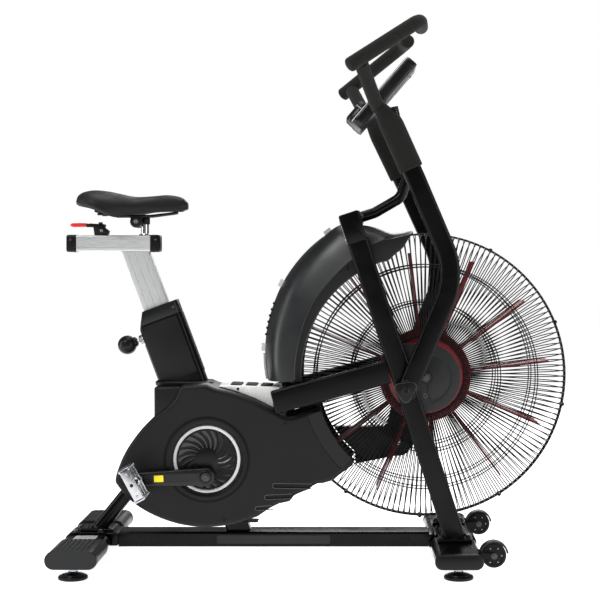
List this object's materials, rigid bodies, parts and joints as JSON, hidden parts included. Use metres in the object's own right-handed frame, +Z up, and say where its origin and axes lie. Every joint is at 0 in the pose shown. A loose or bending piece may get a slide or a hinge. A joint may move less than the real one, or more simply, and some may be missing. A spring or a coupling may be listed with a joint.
{
  "type": "air bike",
  "caption": "Fan-braked upright exercise bike with swinging foam-sleeved handle arms, geared cranks in a moulded shroud, wire fan cage and an adjustable saddle.",
  "frame": {"origin": "on the floor under the middle of the bike's bounding box", "axes": "+X forwards, towards the fan; +Y to the rider's left; +Z up"},
  "size_m": [1.328, 0.6372, 1.4141],
  "materials": {
    "frame_steel": "satin black powder coat on steel",
    "moulded_plastic": "fine-textured charcoal moulded plastic",
    "pale_plastic": "off-white plastic with a fine speckle",
    "aluminium": "brushed and anodised",
    "zinc_steel": "zinc plated",
    "saddle_foam": "black synthetic leather over foam",
    "grip_foam": "dark closed-cell foam",
    "rubber": "plain black rubber",
    "red_plastic": "red moulded plastic"
  },
  "bodies": {
    "frame": {"main_beam": "frame_steel", "rear_stabilizer": "frame_steel", "front_stabilizer": "frame_steel", "rear_cap_right": "moulded_plastic", "rear_cap_left": "moulded_plastic", "wheel_bracket_right": "frame_steel", "wheel_bracket_left": "frame_steel", "rear_strut": "frame_steel", "seat_tube": "frame_steel", "seat_sleeve": "moulded_plastic", "upright_right": "frame_steel", "upright_left": "frame_steel", "head_box": "frame_steel", "console_mast": "frame_steel", "console": "moulded_plastic", "side_frame": "frame_steel", "drive_guard": "moulded_plastic", "hub_plate_right": "moulded_plastic", "hub_plate_left": "moulded_plastic", "fan_axle": "zinc_steel", "cage_right": "frame_steel", "cage_left": "frame_steel", "shroud_right": "moulded_plastic", "shroud_left": "moulded_plastic", "center_cover": "pale_plastic", "wind_guard_right": "moulded_plastic", "wind_guard_left": "moulded_plastic", "first_belt": "rubber", "second_belt": "rubber"},
    "fan": {"fan_wheel": "red_plastic"},
    "crank": {"crank_axle": "zinc_steel", "drive_pulley": "moulded_plastic", "crank_arm_right": "frame_steel", "crank_arm_left": "frame_steel"},
    "jackshaft": {"jackshaft": "zinc_steel"},
    "pedal_right": {"pedal_right": "aluminium"},
    "pedal_left": {"pedal_left": "aluminium"},
    "handle_right": {"arm_right": "frame_steel", "arm_foam_right": "grip_foam", "grip_right": "grip_foam"},
    "handle_left": {"arm_left": "frame_steel", "arm_foam_left": "grip_foam", "grip_left": "grip_foam"},
    "link_right": {"link_rod_right": "zinc_steel"},
    "link_left": {"link_rod_left": "zinc_steel"},
    "wheel_right": {"transport_wheel_right": "rubber"},
    "wheel_left": {"transport_wheel_left": "rubber"},
    "foot_rear_right": {"foot_rear_right": "moulded_plastic"},
    "foot_rear_left": {"foot_rear_left": "moulded_plastic"},
    "foot_front_right": {"foot_front_right": "moulded_plastic"},
    "foot_front_left": {"foot_front_left": "moulded_plastic"},
    "seat_post": {"seat_post": "aluminium", "slider_rail": "aluminium", "rail_cap_front": "moulded_plastic", "rail_cap_rear": "moulded_plastic"},
    "seat_lever": {"seat_lever": "red_plastic"},
    "carriage": {"saddle_carriage": "zinc_steel"},
    "saddle": {"saddle_frame": "frame_steel", "saddle": "saddle_foam"},
    "height_knob": {"height_knob": "moulded_plastic"}
  },
  "joints": [
    {"name": "crank_spin", "type": "hinge", "parent": "frame", "child": "crank", "pos_m": [-0.283, 0, 0.232], "axis": [0, 1, 0], "continuous": true},
    {"name": "jackshaft_spin", "type": "hinge", "parent": "frame", "child": "jackshaft", "pos_m": [0.22, 0, 0.297], "axis": [0, 1, 0], "continuous": true},
    {"name": "fan_spin", "type": "hinge", "parent": "frame", "child": "fan", "pos_m": [0.287, 0, 0.487], "axis": [0, 1, 0], "continuous": true},
    {"name": "pedal_right_spin", "type": "hinge", "parent": "crank", "child": "pedal_right", "pos_m": [-0.45792, -0.19, 0.22681], "axis": [0, 1, 0], "continuous": true},
    {"name": "pedal_left_spin", "type": "hinge", "parent": "crank", "child": "pedal_left", "pos_m": [-0.10808, 0.19, 0.23719], "axis": [0, 1, 0], "continuous": true},
    {"name": "handle_right_swing", "type": "hinge", "parent": "frame", "child": "handle_right", "pos_m": [0.231, 0, 0.46], "axis": [0, 1, 0], "range_deg": [-12, 12]},
    {"name": "handle_left_swing", "type": "hinge", "parent": "frame", "child": "handle_left", "pos_m": [0.231, 0, 0.46], "axis": [0, 1, 0], "range_deg": [-12, 12]},
    {"name": "link_right_hinge", "type": "hinge", "parent": "handle_right", "child": "link_right", "pos_m": [0.21249, -0.123, 0.51497], "axis": [0, 1, 0], "range_deg": [-12, 12]},
    {"name": "link_left_hinge", "type": "hinge", "parent": "handle_left", "child": "link_left", "pos_m": [0.21249, 0.123, 0.51497], "axis": [0, 1, 0], "range_deg": [-12, 12]},
    {"name": "wheel_right_spin", "type": "hinge", "parent": "frame", "child": "wheel_right", "pos_m": [0.4505, -0.217, 0.0505], "axis": [0, 1, 0], "continuous": true},
    {"name": "wheel_left_spin", "type": "hinge", "parent": "frame", "child": "wheel_left", "pos_m": [0.4505, 0.217, 0.0505], "axis": [0, 1, 0], "continuous": true},
    {"name": "foot_rear_right_turn", "type": "hinge", "parent": "frame", "child": "foot_rear_right", "pos_m": [-0.599, -0.26, 0], "axis": [0, 0, 1], "continuous": true},
    {"name": "foot_rear_left_turn", "type": "hinge", "parent": "frame", "child": "foot_rear_left", "pos_m": [-0.599, 0.26, 0], "axis": [0, 0, 1], "continuous": true},
    {"name": "foot_front_right_turn", "type": "hinge", "parent": "frame", "child": "foot_front_right", "pos_m": [0.359, -0.26, 0], "axis": [0, 0, 1], "continuous": true},
    {"name": "foot_front_left_turn", "type": "hinge", "parent": "frame", "child": "foot_front_left", "pos_m": [0.359, 0.26, 0], "axis": [0, 0, 1], "continuous": true},
    {"name": "seat_height", "type": "slide", "parent": "frame", "child": "seat_post", "axis": [-0.3502, 0, 0.9367], "range_m": [-0.085, 0.065]},
    {"name": "saddle_fore_aft", "type": "slide", "parent": "seat_post", "child": "carriage", "axis": [1, 0, 0], "range_m": [-0.06, 0]},
    {"name": "saddle_tilt", "type": "hinge", "parent": "carriage", "child": "saddle", "pos_m": [-0.4775, 0, 0.894], "axis": [0, 1, 0], "range_deg": [-6, 6]},
    {"name": "seat_lever_turn", "type": "hinge", "parent": "seat_post", "child": "seat_lever", "pos_m": [-0.572, 0, 0.8578], "axis": [0, 0, 1], "range_deg": [0, 90]},
    {"name": "height_knob_pull", "type": "slide", "parent": "frame", "child": "height_knob", "axis": [-0.9367, 0, -0.3502], "range_m": [0, 0.01], "stiffness_N_per_m": 400}
  ],
  "couplings": [
    {"joint": "jackshaft_spin", "follows": "crank_spin", "ratio": 4.5455},
    {"joint": "fan_spin", "follows": "crank_spin", "ratio": 7.5758},
    {"joint": "handle_left_swing", "follows": "handle_right_swing", "ratio": -1},
    {"joint": "link_right_hinge", "follows": "handle_right_swing", "ratio": -1},
    {"joint": "link_left_hinge", "follows": "handle_right_swing", "ratio": 1}
  ]
}
